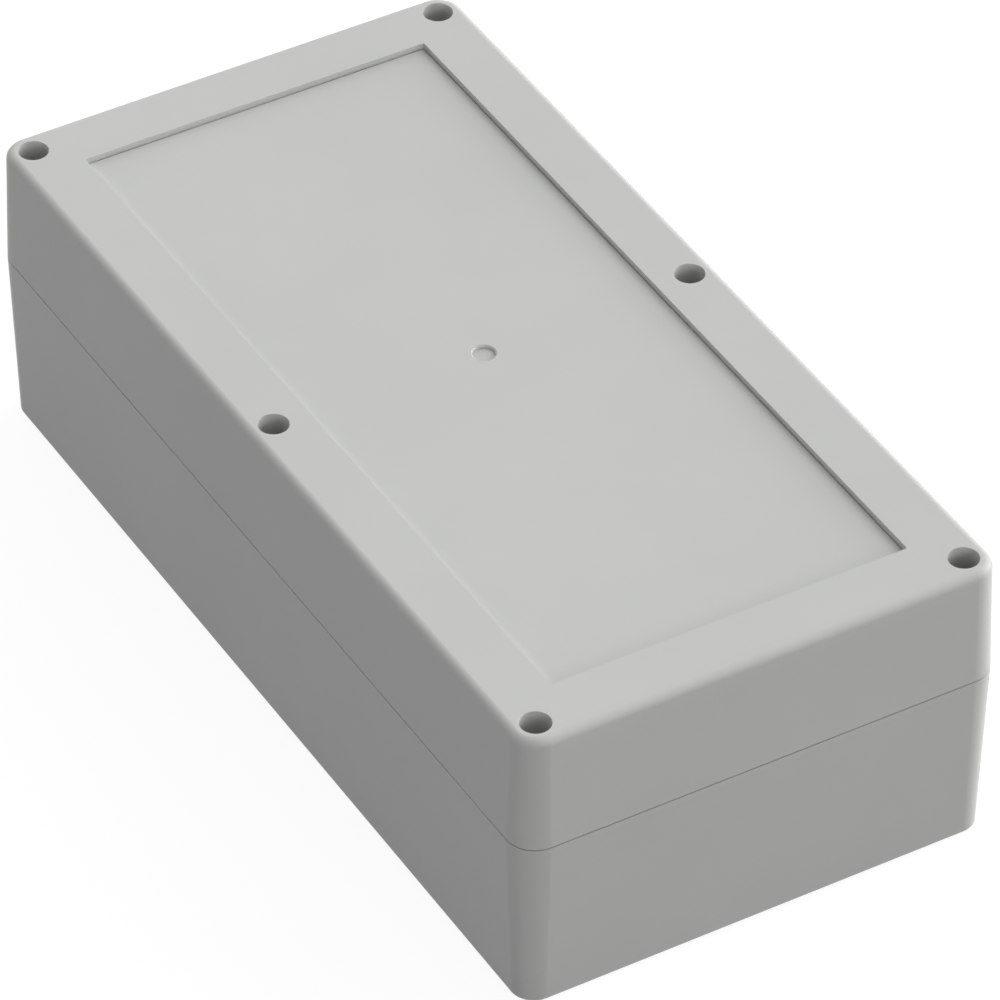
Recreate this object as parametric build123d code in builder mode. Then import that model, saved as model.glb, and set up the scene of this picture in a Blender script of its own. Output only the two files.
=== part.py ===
from build123d import *

import os

# Sealed box of two moulded shells, in millimetres.
# The origin is under the middle of the box, X runs along it and Z points up.

# Outside of the two shells
length = 240.0
width = 120.0
base_height = 45.0
lid_height = 30.0
corner_radius = 7.0
base_draft = 1.9
lid_draft = 1.55
top_edge_radius = 2.0
bottom_edge_cut = 0.4
shadow_gap_height = 0.3
shadow_gap_depth = 0.5

# Recessed panel of the lid with a fine groove round it, and the gate mark in its middle
recess_margin = 15.75
recess_depth = 1.4
recess_corner_radius = 0.4
panel_groove_width = 0.4
panel_groove_depth = 0.4
gate_radius = 2.6
gate_rim_radius = 2.9
gate_depth = 0.8

# Walls inside
base_floor = 3.2
base_inner_draft = 1.9
lid_panel = 3.0
panel_margin = 3.0

# Seal: a tongue on the base presses a gasket in a groove of the lid
groove_land = 1.2
groove_width = 1.8
groove_depth = 2.6
tongue_width = 1.0
tongue_height = 1.0
gasket_side_gap = 0.05
seal_corner_cut = 3.0

# Lid screws, their wells in the lid, and the hexagonal brass inserts in the base
screw_inset = 7.0
well_radius = 3.55
seat_thickness = 3.5
thread_radius = 2.0
head_gap = 0.3
head_height = 2.8
screw_length = 12.0
shank_gap = 0.25
washer_thickness = 0.8
running_gap = 0.05
insert_radius = 2.9
insert_length = 8.0
insert_hole_extra = 1.0

# Wall mounting channels in the corners of the base, outside the seal
mount_inset_x = 18.0
mount_inset_y = 8.0
mount_hole_radius = 2.25
channel_radius = 4.5
mount_seat = 5.0
lid_pocket_span = 7.2
lid_pocket_roof = 4.0

# Posts for a circuit board on the floor of the base
post_inset_x = 32.0
post_inset_y = 22.0
post_radius = 3.8
post_height = 6.0
pilot_radius = 1.45
pilot_depth = 7.0

# Heights and distances that follow from those sizes
top = base_height + lid_height
seal_inset = groove_land + groove_width / 2
seal_margin = groove_width / 2 + groove_land
seat_height = base_height + seat_thickness
recess_floor = top - recess_depth
recess_length = length - 2 * recess_margin
recess_width = width - 2 * recess_margin
ceiling = top - lid_panel
panel_underside = recess_floor - lid_panel
head_radius = well_radius - head_gap
head_underside = seat_height + washer_thickness
head_top = head_underside + head_height
screw_tip = head_underside - screw_length
post_top = base_floor + post_height
gasket_half = groove_width / 2 - gasket_side_gap

screw_x = length / 2 - screw_inset
screw_y = width / 2 - screw_inset
screw_points = [
    (-screw_x, -screw_y),
    (0, -screw_y),
    (screw_x, -screw_y),
    (screw_x, screw_y),
    (0, screw_y),
    (-screw_x, screw_y),
]
mount_spacing_x = length - 2 * mount_inset_x
mount_spacing_y = width - 2 * mount_inset_y
post_spacing_x = length - 2 * post_inset_x
post_spacing_y = width - 2 * post_inset_y

# Blocks that hold the screws and channels, which the seal runs round
corner_block_x = mount_inset_x + channel_radius + seal_margin
corner_block_y = mount_inset_y + channel_radius + seal_margin
side_block_half = insert_radius + seal_margin
side_block_y = screw_inset + side_block_half

# Plan of the area inside the seal, bounded by the middle of the groove
with BuildSketch() as seal_area:
    Rectangle(length - 2 * seal_inset, width - 2 * seal_inset)
    with GridLocations(length, width, 2, 2):
        Rectangle(2 * corner_block_x, 2 * corner_block_y, mode=Mode.SUBTRACT)
    with GridLocations(0, width, 1, 2):
        Rectangle(2 * side_block_half, 2 * side_block_y, mode=Mode.SUBTRACT)
    chamfer(seal_area.vertices(), length=seal_corner_cut)


# Base, open at the top, with its floor on the ground
with BuildPart() as base:
    with BuildSketch(Plane.XY.offset(base_height)):
        RectangleRounded(length, width, corner_radius)
    extrude(amount=-base_height, taper=base_draft)
    chamfer(base.faces().sort_by(Axis.Z)[0].edges(), length=bottom_edge_cut)

    # The cavity starts flush with the inner face of the tongue
    with BuildSketch(Plane.XY.offset(base_height)):
        offset(seal_area.sketch, amount=-tongue_width / 2, kind=Kind.INTERSECTION)
    extrude(amount=base_floor - base_height, taper=base_inner_draft, mode=Mode.SUBTRACT)

    with BuildSketch(Plane.XY.offset(base_height)):
        offset(seal_area.sketch, amount=tongue_width / 2, kind=Kind.INTERSECTION)
        offset(
            seal_area.sketch,
            amount=-tongue_width / 2,
            kind=Kind.INTERSECTION,
            mode=Mode.SUBTRACT,
        )
    extrude(amount=tongue_height)

    with BuildSketch(Plane.XY.offset(base_floor)):
        with GridLocations(post_spacing_x, post_spacing_y, 2, 2):
            Circle(post_radius)
    extrude(amount=post_height)
    with Locations(Plane.XY.offset(post_top)):
        with GridLocations(post_spacing_x, post_spacing_y, 2, 2):
            Hole(pilot_radius, depth=pilot_depth)

    with Locations(Plane.XY.offset(base_height)):
        with GridLocations(mount_spacing_x, mount_spacing_y, 2, 2):
            CounterBoreHole(
                mount_hole_radius,
                counter_bore_radius=channel_radius,
                counter_bore_depth=base_height - mount_seat,
            )

    with BuildSketch(Plane.XY.offset(base_height)):
        with Locations(*screw_points):
            RegularPolygon(insert_radius, side_count=6)
    extrude(amount=-insert_length - insert_hole_extra, mode=Mode.SUBTRACT)

base.part.label = "base"


# Lid, with the screw wells, the recessed panel and the groove for the gasket
with BuildPart() as lid:
    with BuildSketch(Plane.XY.offset(base_height)):
        RectangleRounded(length, width, corner_radius)
    extrude(amount=lid_height, taper=lid_draft)
    fillet(lid.faces().sort_by(Axis.Z)[-1].edges(), radius=top_edge_radius)

    # The foot of the lid steps back, which draws the dark line between the shells
    with BuildSketch(Plane.XY.offset(base_height)):
        RectangleRounded(length, width, corner_radius)
        RectangleRounded(
            length - 2 * shadow_gap_depth,
            width - 2 * shadow_gap_depth,
            corner_radius - shadow_gap_depth,
            mode=Mode.SUBTRACT,
        )
    extrude(amount=shadow_gap_height, mode=Mode.SUBTRACT)

    with BuildSketch(Plane.XY.offset(base_height)):
        offset(seal_area.sketch, amount=-seal_margin, kind=Kind.INTERSECTION)
    extrude(amount=ceiling - base_height, mode=Mode.SUBTRACT)

    # The panel drops below the ceiling by the depth of the recess above it
    with BuildSketch(Plane.XY.offset(panel_underside)):
        Rectangle(recess_length + 2 * panel_margin, recess_width + 2 * panel_margin)
    extrude(amount=ceiling - panel_underside)

    with BuildSketch(Plane.XY.offset(recess_floor)):
        RectangleRounded(recess_length, recess_width, recess_corner_radius)
    extrude(amount=recess_depth, mode=Mode.SUBTRACT)
    with BuildSketch(Plane.XY.offset(recess_floor)):
        RectangleRounded(recess_length, recess_width, recess_corner_radius)
        Rectangle(
            recess_length - 2 * panel_groove_width,
            recess_width - 2 * panel_groove_width,
            mode=Mode.SUBTRACT,
        )
    extrude(amount=-panel_groove_depth, mode=Mode.SUBTRACT)
    with Locations((0, 0, recess_floor)):
        CounterSinkHole(
            gate_radius,
            counter_sink_radius=gate_rim_radius,
            depth=gate_depth,
            counter_sink_angle=90,
        )

    with BuildSketch(Plane.XY.offset(base_height)):
        offset(seal_area.sketch, amount=groove_width / 2, kind=Kind.INTERSECTION)
        offset(
            seal_area.sketch,
            amount=-groove_width / 2,
            kind=Kind.INTERSECTION,
            mode=Mode.SUBTRACT,
        )
    extrude(amount=groove_depth, mode=Mode.SUBTRACT)

    with BuildSketch(Plane.XY.offset(base_height)):
        with GridLocations(mount_spacing_x, mount_spacing_y, 2, 2):
            Rectangle(lid_pocket_span, lid_pocket_span)
    extrude(amount=lid_height - lid_pocket_roof, mode=Mode.SUBTRACT)

    with Locations(Plane.XY.offset(top)):
        with Locations(*screw_points):
            CounterBoreHole(
                thread_radius + shank_gap,
                counter_bore_radius=well_radius,
                counter_bore_depth=top - seat_height,
            )

lid.part.label = "lid"


# Gasket, pressed into the groove of the lid and met by the tongue of the base
with BuildPart() as gasket:
    with BuildSketch(Plane.XY.offset(base_height + tongue_height)):
        offset(seal_area.sketch, amount=gasket_half, kind=Kind.INTERSECTION)
        offset(
            seal_area.sketch,
            amount=-gasket_half,
            kind=Kind.INTERSECTION,
            mode=Mode.SUBTRACT,
        )
    extrude(amount=groove_depth - tongue_height)

gasket.part.label = "gasket"

pieces = [base.part, lid.part, gasket.part]

# Screw, washer and insert at each of the six wells
for number, (x, y) in enumerate(screw_points, start=1):
    with BuildPart() as lid_screw:
        with BuildSketch(Plane(origin=(x, y, 0), x_dir=(1, 0, 0), z_dir=(0, -1, 0))):
            with BuildLine():
                Polyline(
                    (0, screw_tip),
                    (thread_radius, screw_tip),
                    (thread_radius, head_underside),
                    (head_radius, head_underside),
                    (head_radius, head_top),
                    (0, head_top),
                    close=True,
                )
            make_face()
        revolve(axis=Axis((x, y, 0), (0, 0, 1)))
    lid_screw.part.label = f"lid_screw_{number}"
    pieces.append(lid_screw.part)

    with BuildPart() as screw_washer:
        with BuildSketch(Plane(origin=(x, y, seat_height))):
            Circle(head_radius)
            Circle(thread_radius + running_gap, mode=Mode.SUBTRACT)
        extrude(amount=washer_thickness)
    screw_washer.part.label = f"screw_washer_{number}"
    pieces.append(screw_washer.part)

    with BuildPart() as threaded_insert:
        with BuildSketch(Plane(origin=(x, y, base_height))):
            RegularPolygon(insert_radius, side_count=6)
            Circle(thread_radius + running_gap, mode=Mode.SUBTRACT)
        extrude(amount=-insert_length)
    threaded_insert.part.label = f"threaded_insert_{number}"
    pieces.append(threaded_insert.part)

# One file for each piece, named by its label
os.makedirs("parts", exist_ok=True)
for piece in pieces:
    export_step(piece, f"parts/{piece.label}.step")
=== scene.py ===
import math

import bmesh
import bpy
from mathutils import Matrix, Vector


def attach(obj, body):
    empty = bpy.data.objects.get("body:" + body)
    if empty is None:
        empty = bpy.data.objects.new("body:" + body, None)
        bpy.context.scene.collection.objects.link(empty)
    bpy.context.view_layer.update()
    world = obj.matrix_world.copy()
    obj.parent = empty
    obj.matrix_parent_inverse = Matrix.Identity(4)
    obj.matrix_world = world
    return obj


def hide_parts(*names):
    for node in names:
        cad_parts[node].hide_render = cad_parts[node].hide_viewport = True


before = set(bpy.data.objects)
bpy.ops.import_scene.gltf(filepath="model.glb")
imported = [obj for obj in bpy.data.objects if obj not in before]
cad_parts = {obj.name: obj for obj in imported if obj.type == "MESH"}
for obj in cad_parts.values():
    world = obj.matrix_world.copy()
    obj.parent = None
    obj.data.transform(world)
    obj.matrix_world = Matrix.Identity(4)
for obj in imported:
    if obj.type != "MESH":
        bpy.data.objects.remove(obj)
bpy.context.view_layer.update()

# Sizes of the part, in metres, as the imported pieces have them
LENGTH = 0.240
WIDTH = 0.120
SCREW_INSET = 0.007
SCREW_X = LENGTH / 2 - SCREW_INSET
SCREW_Y = WIDTH / 2 - SCREW_INSET
SCREW_AXES = [
    (-SCREW_X, -SCREW_Y), (0.0, -SCREW_Y), (SCREW_X, -SCREW_Y),
    (SCREW_X, SCREW_Y), (0.0, SCREW_Y), (-SCREW_X, SCREW_Y),
]
SCREW_COUNT = len(SCREW_AXES)

# Pitch of the M4 thread
PITCH = 0.0007


# Parts of a material

def new_material(name):
    """An empty node material with its output, shader and object coordinates."""
    mat = bpy.data.materials.new(name)
    mat.use_nodes = True
    nodes, links = mat.node_tree.nodes, mat.node_tree.links
    nodes.clear()
    out = nodes.new("ShaderNodeOutputMaterial")
    shader = nodes.new("ShaderNodeBsdfPrincipled")
    links.new(shader.outputs["BSDF"], out.inputs["Surface"])
    coord = nodes.new("ShaderNodeTexCoord")
    return mat, nodes, links, shader, coord.outputs["Object"]


def noise(nodes, links, vector, scale, detail, rough):
    """A noise texture whose scale is in features per metre."""
    tex = nodes.new("ShaderNodeTexNoise")
    tex.inputs["Scale"].default_value = scale
    tex.inputs["Detail"].default_value = detail
    tex.inputs["Roughness"].default_value = rough
    links.new(vector, tex.inputs["Vector"])
    return tex.outputs["Fac"]


def span(nodes, links, value, low, high):
    """The middle range of a noise texture, mapped onto low to high."""
    node = nodes.new("ShaderNodeMapRange")
    node.inputs["From Min"].default_value = 0.3
    node.inputs["From Max"].default_value = 0.7
    node.inputs["To Min"].default_value = low
    node.inputs["To Max"].default_value = high
    links.new(value, node.inputs["Value"])
    return node.outputs["Result"]


def tint(nodes, links, value, dark, light):
    """A colour between two, chosen by the value."""
    node = nodes.new("ShaderNodeMix")
    node.data_type = "RGBA"
    node.inputs["A"].default_value = (*dark, 1)
    node.inputs["B"].default_value = (*light, 1)
    links.new(value, node.inputs["Factor"])
    return node.outputs["Result"]


def bump(nodes, links, height, distance, strength, before=None):
    """A bump whose distance is in metres, on top of another one if given."""
    node = nodes.new("ShaderNodeBump")
    node.inputs["Distance"].default_value = distance
    node.inputs["Strength"].default_value = strength
    links.new(height, node.inputs["Height"])
    if before is not None:
        links.new(before, node.inputs["Normal"])
    return node.outputs["Normal"]


# Materials

SHELL_DARK = (0.535, 0.545, 0.530)
SHELL_LIGHT = (0.575, 0.585, 0.570)
RUBBER_DARK = (0.012, 0.012, 0.013)
RUBBER_LIGHT = (0.030, 0.030, 0.031)
NYLON_DARK = (0.72, 0.70, 0.62)
NYLON_LIGHT = (0.80, 0.79, 0.73)
STEEL_DARK = (0.52, 0.52, 0.51)
STEEL_LIGHT = (0.68, 0.68, 0.67)
BRASS_DARK = (0.62, 0.42, 0.14)
BRASS_LIGHT = (0.78, 0.57, 0.24)


def shell_plastic():
    """Light grey moulded plastic with a fine spark texture and a satin surface."""
    mat, nodes, links, shader, coord = new_material("moulded_grey_plastic")
    grain = noise(nodes, links, coord, scale=2600, detail=2.0, rough=0.6)
    flow = noise(nodes, links, coord, scale=14, detail=3.0, rough=0.5)
    cloud = noise(nodes, links, coord, scale=60, detail=2.0, rough=0.5)
    cloud_share = 0.35
    blend = nodes.new("ShaderNodeMath")
    blend.operation = "MULTIPLY_ADD"
    links.new(cloud, blend.inputs[0])
    blend.inputs[1].default_value = cloud_share
    links.new(span(nodes, links, flow, low=0.1, high=0.55), blend.inputs[2])
    colour = tint(nodes, links, blend.outputs[0], SHELL_DARK, SHELL_LIGHT)
    links.new(colour, shader.inputs["Base Color"])
    links.new(span(nodes, links, grain, low=0.40, high=0.50), shader.inputs["Roughness"])
    shader.inputs["IOR"].default_value = 1.47
    shader.inputs["Specular IOR Level"].default_value = 0.3
    fine = bump(nodes, links, grain, distance=0.000012, strength=0.5)
    slow = bump(nodes, links, flow, distance=0.0002, strength=0.08, before=fine)
    links.new(slow, shader.inputs["Normal"])
    return mat


def rubber():
    """Dark sealing rubber with a dusty bloom."""
    mat, nodes, links, shader, coord = new_material("sealing_rubber")
    fine = noise(nodes, links, coord, scale=4200, detail=3.0, rough=0.6)
    bloom = noise(nodes, links, coord, scale=220, detail=4.0, rough=0.6)
    amount = span(nodes, links, bloom, low=0, high=1)
    links.new(tint(nodes, links, amount, RUBBER_DARK, RUBBER_LIGHT), shader.inputs["Base Color"])
    links.new(span(nodes, links, bloom, low=0.55, high=0.72), shader.inputs["Roughness"])
    links.new(bump(nodes, links, fine, distance=0.00002, strength=0.6), shader.inputs["Normal"])
    return mat


def nylon():
    """Natural nylon, slightly translucent."""
    mat, nodes, links, shader, coord = new_material("natural_nylon")
    fine = noise(nodes, links, coord, scale=3500, detail=2.0, rough=0.5)
    cloud = noise(nodes, links, coord, scale=400, detail=2.0, rough=0.5)
    amount = span(nodes, links, cloud, low=0, high=1)
    links.new(tint(nodes, links, amount, NYLON_DARK, NYLON_LIGHT), shader.inputs["Base Color"])
    links.new(span(nodes, links, fine, low=0.32, high=0.45), shader.inputs["Roughness"])
    shader.inputs["Subsurface Weight"].default_value = 0.15
    shader.inputs["Subsurface Scale"].default_value = 0.0006
    links.new(bump(nodes, links, fine, distance=0.00001, strength=0.5), shader.inputs["Normal"])
    return mat


def turned_metal(name, dark, light, rough_low, rough_high):
    """Turned metal with fine rings round its axis and faint handling marks."""
    mat, nodes, links, shader, coord = new_material(name)
    shader.inputs["Metallic"].default_value = 1.0
    stretch = nodes.new("ShaderNodeMapping")
    stretch.inputs["Scale"].default_value = (220, 220, 26000)
    links.new(coord, stretch.inputs["Vector"])
    rings = noise(nodes, links, stretch.outputs["Vector"], scale=1.0, detail=2.0, rough=0.5)
    marks = noise(nodes, links, coord, scale=900, detail=4.0, rough=0.65)
    amount = span(nodes, links, marks, low=0, high=1)
    links.new(tint(nodes, links, amount, dark, light), shader.inputs["Base Color"])
    links.new(span(nodes, links, marks, rough_low, rough_high), shader.inputs["Roughness"])
    links.new(bump(nodes, links, rings, distance=0.00001, strength=0.5), shader.inputs["Normal"])
    return mat


plastic = shell_plastic()
steel = turned_metal("stainless_steel", STEEL_DARK, STEEL_LIGHT, 0.22, 0.36)
brass = turned_metal("cut_brass", BRASS_DARK, BRASS_LIGHT, 0.20, 0.36)
seal_rubber = rubber()
white_nylon = nylon()


def dress(node, mat):
    """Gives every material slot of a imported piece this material."""
    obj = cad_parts[node]
    if not obj.material_slots:
        obj.data.materials.append(mat)
    for slot in obj.material_slots:
        slot.material = mat


dress("base", plastic)
dress("lid", plastic)
for number in range(1, SCREW_COUNT + 1):
    dress(f"screw_washer_{number}", white_nylon)


# Tools for the detailed pieces

def smooth_by_angle(mesh, degrees):
    """Smooth shading, apart from edges where two faces meet more sharply than this."""
    for poly in mesh.polygons:
        poly.use_smooth = True
    mesh.set_sharp_from_angle(angle=math.radians(degrees))


def make_object(name, bm, mat, smooth=35):
    """A mesh object from a bmesh, smooth below the given angle in degrees."""
    bmesh.ops.recalc_face_normals(bm, faces=bm.faces)
    mesh = bpy.data.meshes.new(name)
    bm.to_mesh(mesh)
    bm.free()
    mesh.materials.append(mat)
    obj = bpy.data.objects.new(name, mesh)
    bpy.context.scene.collection.objects.link(obj)
    smooth_by_angle(mesh, smooth)
    return obj


def ring(bm, z, radius, sides=48):
    """Vertices round the Z axis. The radius is a number, or a function of the angle."""
    verts = []
    for k in range(sides):
        angle = 2 * math.pi * k / sides
        reach = radius(angle) if callable(radius) else radius
        verts.append(bm.verts.new((reach * math.cos(angle), reach * math.sin(angle), z)))
    return verts


def join_rings(bm, rings):
    """Faces between each ring of vertices, closed on itself, and the next one."""
    for low, high in zip(rings, rings[1:]):
        count = len(low)
        for k in range(count):
            nxt = (k + 1) % count
            bm.faces.new((low[k], low[nxt], high[nxt], high[k]))


def thread_radius(angle, z, root, crest, grow):
    """Radius of a 60 degree thread at a height, with the ridge grown by a clearance."""
    turn = (z / PITCH - angle / (2 * math.pi)) % 1.0
    off_crest = abs(turn - 0.5) * PITCH
    crest_half = PITCH / 16
    root_half = PITCH / 8
    slope = (crest - root) / (0.5 * PITCH - crest_half - root_half)
    return max(root, min(crest, crest - (off_crest - crest_half - grow) * slope))


def stand_on_screw_axis(piece, number):
    """Moves a piece made round the Z axis onto the axis of one of the lid screws."""
    piece.location = (*SCREW_AXES[number - 1], 0)
    bpy.context.view_layer.update()


# Floor of the gate mark in the middle of the lid, which is flat on a real moulding.
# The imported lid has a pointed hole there, as wide as GATE_POINT_RADIUS at the floor.

GATE_RADIUS = 0.0026
GATE_POINT_RADIUS = 0.0021
GATE_FLOOR = 0.0728
GATE_SKIN = 0.00002


def gate_floor():
    """A flat disc on the floor of the mark, with a point that fills the hole below."""
    profile = (
        (GATE_FLOOR + 2 * GATE_SKIN, GATE_RADIUS - GATE_SKIN),
        (GATE_FLOOR + GATE_SKIN, GATE_RADIUS - GATE_SKIN),
        (GATE_FLOOR + GATE_SKIN, GATE_POINT_RADIUS - 2 * GATE_SKIN),
        (GATE_FLOOR - GATE_POINT_RADIUS + 4 * GATE_SKIN, GATE_SKIN),
    )
    bm = bmesh.new()
    rings = [ring(bm, z, radius, sides=64) for z, radius in profile]
    join_rings(bm, rings)
    bm.faces.new(rings[0])
    bm.faces.new(list(reversed(rings[-1])))
    return make_object("gate_mark_floor", bm, plastic, smooth=30)


mark = gate_floor()
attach(mark, "lid")


# Gasket, which follows the groove round the screw blocks of the lid

SEAL_INSET = 0.0021
SEAL_MARGIN = 0.0021
SEAL_CORNER_CUT = 0.003
MOUNT_INSET_X = 0.018
MOUNT_INSET_Y = 0.008
CHANNEL_RADIUS = 0.0045
INSERT_RADIUS = 0.0029
GASKET_LOW = 0.0460
GASKET_HIGH = 0.0476
CORD_HALF_WIDTH = 0.00085
CORD_MOST_STRETCH = 1.25
CORD_BEND = 0.0008
BEND_STEPS = 3

# Section of the cord, from -1 to 1 across and 0 to 1 up, with the mark of the tongue below
CORD_SECTION = [
    (-0.48, 0.03), (-0.30, 0.0), (0.30, 0.0), (0.48, 0.03), (0.62, 0.0),
    (0.86, 0.05), (1.0, 0.22), (0.96, 0.5), (1.0, 0.78), (0.86, 0.96), (0.55, 1.0),
    (-0.55, 1.0), (-0.86, 0.96), (-1.0, 0.78), (-0.96, 0.5), (-1.0, 0.22),
    (-0.86, 0.05), (-0.62, 0.0),
]


def seal_corners():
    """Corners of the middle line of the seal, before they are cut, as one closed loop."""
    x_end = LENGTH / 2 - SEAL_INSET
    y_side = WIDTH / 2 - SEAL_INSET
    x_block = LENGTH / 2 - MOUNT_INSET_X - CHANNEL_RADIUS - SEAL_MARGIN
    y_block = WIDTH / 2 - MOUNT_INSET_Y - CHANNEL_RADIUS - SEAL_MARGIN
    middle_half = INSERT_RADIUS + SEAL_MARGIN
    y_middle = WIDTH / 2 - SCREW_INSET - middle_half
    quarter = [
        (x_end, y_block), (x_block, y_block), (x_block, y_side),
        (middle_half, y_side), (middle_half, y_middle),
    ]
    corners = list(quarter)
    corners += [(-x, y) for x, y in reversed(quarter)]
    corners += [(-x, -y) for x, y in quarter]
    corners += [(x, -y) for x, y in reversed(quarter)]
    return corners


def cut_corners(corners, cut):
    """The loop with two points in place of each corner, where its sides are cut off."""
    path = []
    count = len(corners)
    for k in range(count):
        here = Vector(corners[k])
        back = (Vector(corners[k - 1]) - here).normalized()
        ahead = (Vector(corners[(k + 1) % count]) - here).normalized()
        path.append(here + back * cut)
        path.append(here + ahead * cut)
    return path


def rounded(path, reach):
    """The loop with each bend turned into a short curve that starts at this distance."""
    result = []
    count = len(path)
    for k in range(count):
        here = path[k]
        start = here + (path[k - 1] - here).normalized() * reach
        end = here + (path[(k + 1) % count] - here).normalized() * reach
        for step in range(BEND_STEPS + 1):
            t = step / BEND_STEPS
            result.append(start * (1 - t) ** 2 + here * 2 * t * (1 - t) + end * t ** 2)
    return result


def gasket_mesh():
    """The gasket as a moulded rubber cord in its groove, marked by the tongue."""
    path = rounded(cut_corners(seal_corners(), SEAL_CORNER_CUT), CORD_BEND)
    count = len(path)
    bm = bmesh.new()
    rings = []
    for across, up in CORD_SECTION:
        loop = []
        for k in range(count):
            back = (path[k] - path[k - 1]).normalized()
            ahead = (path[(k + 1) % count] - path[k]).normalized()
            mean = (back + ahead).normalized()
            normal = Vector((-mean.y, mean.x))
            stretch = min(CORD_MOST_STRETCH, 1 / mean.dot(ahead))
            p = path[k] + normal * across * CORD_HALF_WIDTH * stretch
            z = GASKET_LOW + up * (GASKET_HIGH - GASKET_LOW)
            loop.append(bm.verts.new((p.x, p.y, z)))
        rings.append(loop)
    join_rings(bm, rings + [rings[0]])
    return make_object("gasket_cord", bm, seal_rubber, smooth=50)


gasket = gasket_mesh()
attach(gasket, "lid")
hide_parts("gasket")


# Hexagonal brass inserts with an inner thread

INSERT_LOW = 0.037
INSERT_HIGH = 0.045
INSERT_END_RADIUS = 0.00262
INSERT_CHAMFER = 0.0002
BORE_RADIUS = 0.00205
BORE_CREST = 0.00168
BORE_GROOVE_FOOT = 0.00163
BORE_RIM = 0.00218
BORE_CLEARANCE = 0.00003
BORE_LEAD = 0.0005

# Height between the rings of vertices of a thread, and the angle below which it is smooth
THREAD_STEP = PITCH / 8
THREADED_SMOOTH = 32


def hexagon(reach):
    """Radius of the hexagon as a function of the angle, cut off by a circle."""
    flat = INSERT_RADIUS * math.cos(math.pi / 6)
    return lambda angle: min(flat / math.cos(angle % (math.pi / 3) - math.pi / 6), reach)


def bore(z):
    """Radius of the tapped bore as a function of the angle, with a groove for the screw."""
    lead = min(1.0, (INSERT_HIGH - z - INSERT_CHAMFER) / BORE_LEAD)

    def radius(angle):
        groove = thread_radius(angle, z, BORE_GROOVE_FOOT, BORE_RADIUS, BORE_CLEARANCE)
        return BORE_RADIUS + (max(BORE_CREST, groove) - BORE_RADIUS) * lead

    return radius


def insert_mesh(name):
    """An insert round the Z axis, chamfered at both ends."""
    bm = bmesh.new()
    rings = [
        ring(bm, INSERT_LOW, hexagon(INSERT_END_RADIUS)),
        ring(bm, INSERT_LOW + INSERT_CHAMFER, hexagon(INSERT_RADIUS)),
        ring(bm, INSERT_HIGH - INSERT_CHAMFER, hexagon(INSERT_RADIUS)),
        ring(bm, INSERT_HIGH, hexagon(INSERT_END_RADIUS)),
        ring(bm, INSERT_HIGH, BORE_RIM),
        ring(bm, INSERT_HIGH - INSERT_CHAMFER, BORE_RADIUS),
    ]
    levels = int((INSERT_HIGH - INSERT_LOW - 3 * INSERT_CHAMFER) / THREAD_STEP)
    for level in range(levels + 1):
        z = INSERT_HIGH - 1.5 * INSERT_CHAMFER - level * THREAD_STEP
        rings.append(ring(bm, z, bore(z)))
    rings.append(ring(bm, INSERT_LOW + INSERT_CHAMFER / 2, BORE_RADIUS))
    rings.append(ring(bm, INSERT_LOW, BORE_RIM))
    join_rings(bm, rings + [rings[0]])
    return make_object(name, bm, brass, smooth=THREADED_SMOOTH)


insert = insert_mesh("brass_insert_1")
for number in range(1, SCREW_COUNT + 1):
    piece = insert if number == 1 else insert.copy()
    if number > 1:
        bpy.context.scene.collection.objects.link(piece)
    piece.name = f"brass_insert_{number}"
    stand_on_screw_axis(piece, number)
    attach(piece, "base")
    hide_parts(f"threaded_insert_{number}")


# Lid screws: cheese heads with a cross recess, and a rolled thread

SCREW_TIP = 0.0373
HEAD_LOW = 0.0493
HEAD_TOP = 0.0521
HEAD_RADIUS = 0.00325
HEAD_LOW_CHAMFER = 0.0001
NECK_RADIUS = 0.00172
NECK_LENGTH = 0.0012
NECK_START = 0.0001
FLARE_RADIUS = 0.0019
FLARE_HEIGHT = 0.0002
THREAD_ROOT = 0.00158
THREAD_CREST = 0.002
THREAD_FADE = 0.0005
TIP_FACE_RADIUS = 0.0006
TIP_RADIUS = 0.0014
TIP_START = 0.0001

# Rounded rim of the head: how far down from its top, and how far in from its side
HEAD_RIM = [
    (0.0005, 0.0), (0.00028, 0.00006), (0.0001, 0.00024), (0.00003, 0.00055), (0.0, 0.0012),
]

# Cross recess: half length and half thickness of its wings, at the top and at their foot
WING_TOP = (0.00205, 0.00045)
WING_FOOT = (0.00085, 0.00030)
WING_DEPTH = 0.0019
WING_OVERSHOOT = 0.0002
POINT_RADIUS = 0.00095
POINT_START = 0.0005
POINT_DEPTH = 0.0024
POINT_SIDES = 24

# How far each screw is turned, in degrees, as screws end up when driven by hand
HEAD_ANGLES = [17, 71, 38, 5, 54, 83]


def shank(z, thread_top):
    """Radius of the shank as a function of the angle, fading in at the tip and at the neck."""
    lead = min(1.0, (z - SCREW_TIP) / PITCH)
    limit = TIP_RADIUS + (THREAD_CREST - TIP_RADIUS) * lead
    fade = max(0.0, min(1.0, (thread_top - z) / THREAD_FADE))

    def radius(angle):
        ridge = thread_radius(angle, z, THREAD_ROOT, THREAD_CREST, 0.0) - THREAD_ROOT
        return min(limit, THREAD_ROOT + ridge * fade)

    return radius


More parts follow.
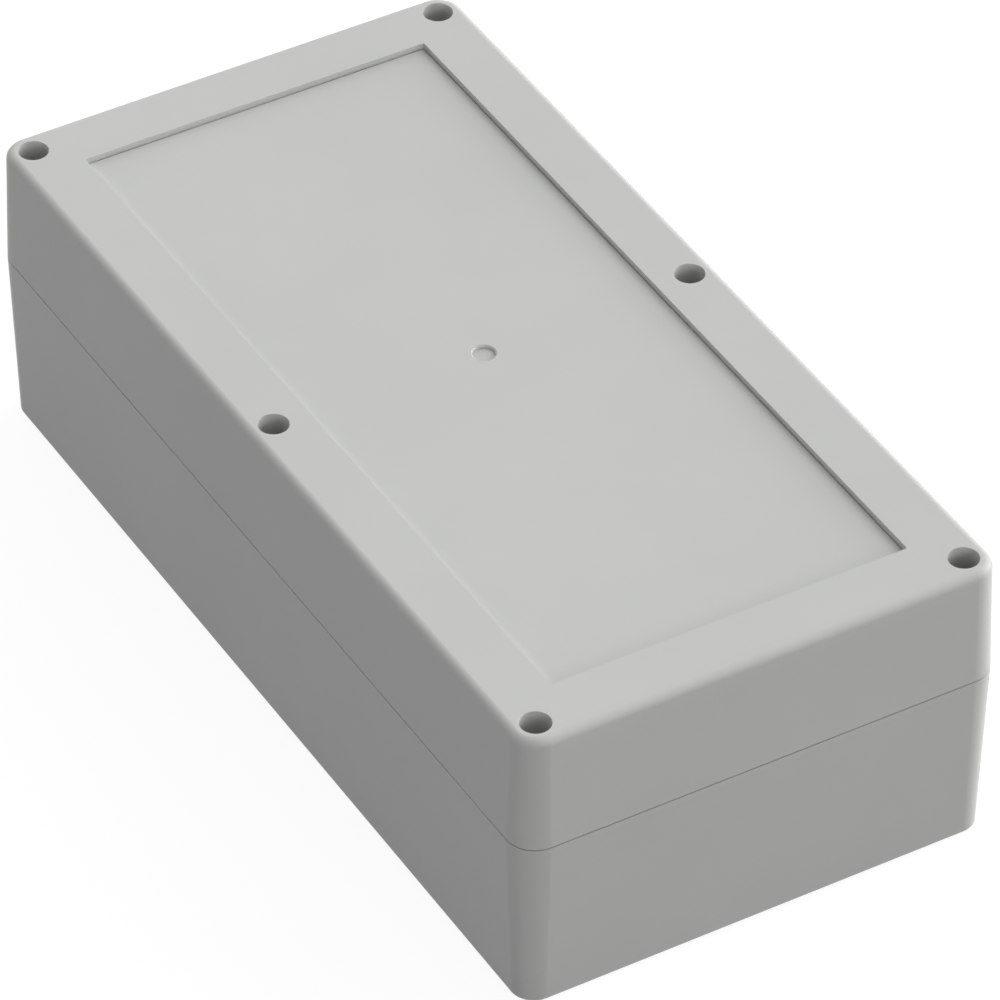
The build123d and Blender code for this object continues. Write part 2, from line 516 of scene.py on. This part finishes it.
def screw_body(name):
    """The screw round the Z axis, from its tip through the thread and neck to its head."""
    thread_top = HEAD_LOW - NECK_LENGTH
    thread_low = SCREW_TIP + TIP_START
    bm = bmesh.new()
    rings = [
        ring(bm, SCREW_TIP, TIP_FACE_RADIUS),
        ring(bm, SCREW_TIP, TIP_RADIUS - TIP_START),
    ]
    levels = int((thread_top - thread_low) / THREAD_STEP)
    for level in range(levels + 1):
        z = thread_low + level * THREAD_STEP
        rings.append(ring(bm, z, shank(z, thread_top)))
    rings += [
        ring(bm, thread_top + NECK_START, NECK_RADIUS),
        ring(bm, HEAD_LOW - FLARE_HEIGHT, NECK_RADIUS),
        ring(bm, HEAD_LOW, FLARE_RADIUS),
        ring(bm, HEAD_LOW, HEAD_RADIUS - HEAD_LOW_CHAMFER),
        ring(bm, HEAD_LOW + HEAD_LOW_CHAMFER, HEAD_RADIUS),
    ]
    rings += [ring(bm, HEAD_TOP - down, HEAD_RADIUS - inward) for down, inward in HEAD_RIM]
    join_rings(bm, rings)
    bm.faces.new(list(reversed(rings[0])))
    bm.faces.new(rings[-1])
    return make_object(name, bm, steel, smooth=THREADED_SMOOTH)


def recess_punch(name, angle):
    """The punch of the cross recess: two tapered wings and a point."""
    bm = bmesh.new()
    for wing in (0, 90):
        turn = Matrix.Rotation(math.radians(angle + wing), 4, "Z")
        corners = []
        for z, (half, thick) in ((HEAD_TOP + WING_OVERSHOOT, WING_TOP), (HEAD_TOP - WING_DEPTH, WING_FOOT)):
            for side_x, side_y in ((-1, -1), (1, -1), (1, 1), (-1, 1)):
                corners.append(Vector((side_x * half, side_y * thick, z)))
        verts = [bm.verts.new(turn @ corner) for corner in corners]
        for face in ((3, 2, 1, 0), (4, 5, 6, 7), (0, 1, 5, 4), (1, 2, 6, 5), (2, 3, 7, 6), (3, 0, 4, 7)):
            bm.faces.new([verts[i] for i in face])
    point = bm.verts.new((0, 0, HEAD_TOP - POINT_DEPTH))
    rim = ring(bm, HEAD_TOP - POINT_START, POINT_RADIUS, sides=POINT_SIDES)
    bm.faces.new(rim)
    for k in range(POINT_SIDES):
        bm.faces.new((rim[(k + 1) % POINT_SIDES], rim[k], point))
    return make_object(name, bm, steel)


def screw_mesh(name, recess_angle):
    """A lid screw round the Z axis, with its recess cut and the cut applied."""
    screw = screw_body(name)
    punch = recess_punch(name + "_cutter", recess_angle)
    cut = screw.modifiers.new("recess", "BOOLEAN")
    cut.operation = "DIFFERENCE"
    cut.solver = "EXACT"
    cut.use_self = True
    cut.object = punch
    bpy.context.view_layer.update()
    shaped = bpy.data.meshes.new_from_object(
        screw.evaluated_get(bpy.context.evaluated_depsgraph_get()))
    screw.modifiers.clear()
    screw.data = shaped
    bpy.data.objects.remove(punch)
    smooth_by_angle(shaped, THREADED_SMOOTH)
    return screw


for number, angle in enumerate(HEAD_ANGLES, start=1):
    screw = screw_mesh(f"steel_screw_{number}", angle)
    stand_on_screw_axis(screw, number)
    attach(screw, f"screw_{number}")
    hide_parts(f"lid_screw_{number}")


# Floor, which looks white and keeps a soft shadow

FLOOR_RADIUS = 3.0
FLOOR_DROP = 0.0002
FLOOR_BOUNCE = 0.15
FLOOR_GLOW = 0.90
FLOOR_SHADE = 0.16


def seen_rays(nodes, links):
    """One for the rays that see the white background, and zero for the rays that light."""
    path = nodes.new("ShaderNodeLightPath")
    total = path.outputs["Is Camera Ray"]
    for kind in ("Is Glossy Ray", "Is Transmission Ray"):
        either = nodes.new("ShaderNodeMath")
        either.operation = "MAXIMUM"
        links.new(total, either.inputs[0])
        links.new(path.outputs[kind], either.inputs[1])
        total = either.outputs[0]
    return total


def grey_diffuse(nodes, level):
    """A plain matt shader of one grey."""
    shader = nodes.new("ShaderNodeBsdfDiffuse")
    shader.inputs["Color"].default_value = (level, level, level, 1)
    return shader.outputs[0]


def floor_material():
    """A glow with a weak matt layer for the shadow, and a grey that throws light back."""
    mat = bpy.data.materials.new("pale_floor")
    mat.use_nodes = True
    nodes, links = mat.node_tree.nodes, mat.node_tree.links
    nodes.clear()
    out = nodes.new("ShaderNodeOutputMaterial")
    glow = nodes.new("ShaderNodeEmission")
    glow.inputs["Color"].default_value = (1, 1, 1, 1)
    glow.inputs["Strength"].default_value = FLOOR_GLOW
    seen = nodes.new("ShaderNodeAddShader")
    links.new(glow.outputs[0], seen.inputs[0])
    links.new(grey_diffuse(nodes, FLOOR_SHADE), seen.inputs[1])
    mix = nodes.new("ShaderNodeMixShader")
    links.new(seen_rays(nodes, links), mix.inputs["Fac"])
    links.new(grey_diffuse(nodes, FLOOR_BOUNCE), mix.inputs[1])
    links.new(seen.outputs[0], mix.inputs[2])
    links.new(mix.outputs[0], out.inputs["Surface"])
    return mat


bm = bmesh.new()
bmesh.ops.create_circle(bm, cap_ends=True, radius=FLOOR_RADIUS, segments=96)
floor = make_object("floor", bm, floor_material())
floor.location = (0, 0, -FLOOR_DROP)


# World, which looks white and lights the object like a soft studio.
# Each light has a direction, a power that narrows it, and a strength.

LOBES = [
    ((0, 0, 1), 2.0, 0.35),
    ((0, 1, 0.06), 60.0, 27.6),
    ((0, 1, 0.5), 12.0, 3.9),
    ((0, 1, 0.8), 8.0, 2.5),
    ((1, 0, 0.3), 40.0, 9.2),
    ((-1, 0, 0.25), 6.0, 3.0),
    ((0, -1, 0.25), 40.0, 4.05),
]


def maths(nodes, links, operation, value, *numbers):
    """A maths node on a value, with plain numbers for its other inputs."""
    node = nodes.new("ShaderNodeMath")
    node.operation = operation
    links.new(value, node.inputs[0])
    for k, number in enumerate(numbers, start=1):
        node.inputs[k].default_value = number
    return node


def world_light():
    """The sum of the soft lights for the rays that light, and white for the rays that see."""
    world = bpy.data.worlds.new("studio")
    bpy.context.scene.world = world
    world.use_nodes = True
    nodes, links = world.node_tree.nodes, world.node_tree.links
    nodes.clear()
    out = nodes.new("ShaderNodeOutputWorld")
    coord = nodes.new("ShaderNodeTexCoord")
    total = None
    for direction, power, strength in LOBES:
        towards = nodes.new("ShaderNodeVectorMath")
        towards.operation = "DOT_PRODUCT"
        links.new(coord.outputs["Generated"], towards.inputs[0])
        towards.inputs[1].default_value = Vector(direction).normalized()
        above = maths(nodes, links, "MAXIMUM", towards.outputs["Value"], 0.0)
        narrow = maths(nodes, links, "POWER", above.outputs[0], power)
        added = maths(nodes, links, "MULTIPLY_ADD", narrow.outputs[0], strength, 0.0)
        if total is not None:
            links.new(total, added.inputs[2])
        total = added.outputs[0]
    soft = nodes.new("ShaderNodeBackground")
    links.new(total, soft.inputs["Strength"])
    white = nodes.new("ShaderNodeBackground")
    white.inputs["Strength"].default_value = 1.0
    mix = nodes.new("ShaderNodeMixShader")
    links.new(seen_rays(nodes, links), mix.inputs["Fac"])
    links.new(soft.outputs[0], mix.inputs[1])
    links.new(white.outputs[0], mix.inputs[2])
    links.new(mix.outputs[0], out.inputs["Surface"])


world_light()


# Camera at the photograph's place. Its angles are in degrees.

CAMERA_PLACE = (1.168677, -0.678634, 1.164507)
CAMERA_HEADING = 59.702
CAMERA_TILT = 50.018
CAMERA_ROLL = 0.227
CAMERA_SENSOR = 36.0
CAMERA_LENS = 283.35

camera_data = bpy.data.cameras.new("camera")
camera_data.sensor_fit = "HORIZONTAL"
camera_data.sensor_width = CAMERA_SENSOR
camera_data.lens = CAMERA_LENS
camera_data.clip_start = 0.1
camera_data.clip_end = 20.0
camera = bpy.data.objects.new("camera", camera_data)
bpy.context.scene.collection.objects.link(camera)
camera.matrix_world = (
    Matrix.Translation(CAMERA_PLACE)
    @ Matrix.Rotation(math.radians(CAMERA_HEADING), 4, "Z")
    @ Matrix.Rotation(math.radians(CAMERA_TILT), 4, "X")
    @ Matrix.Rotation(math.radians(CAMERA_ROLL), 4, "Z")
)
bpy.context.scene.camera = camera

bpy.context.scene.view_settings.view_transform = "Standard"
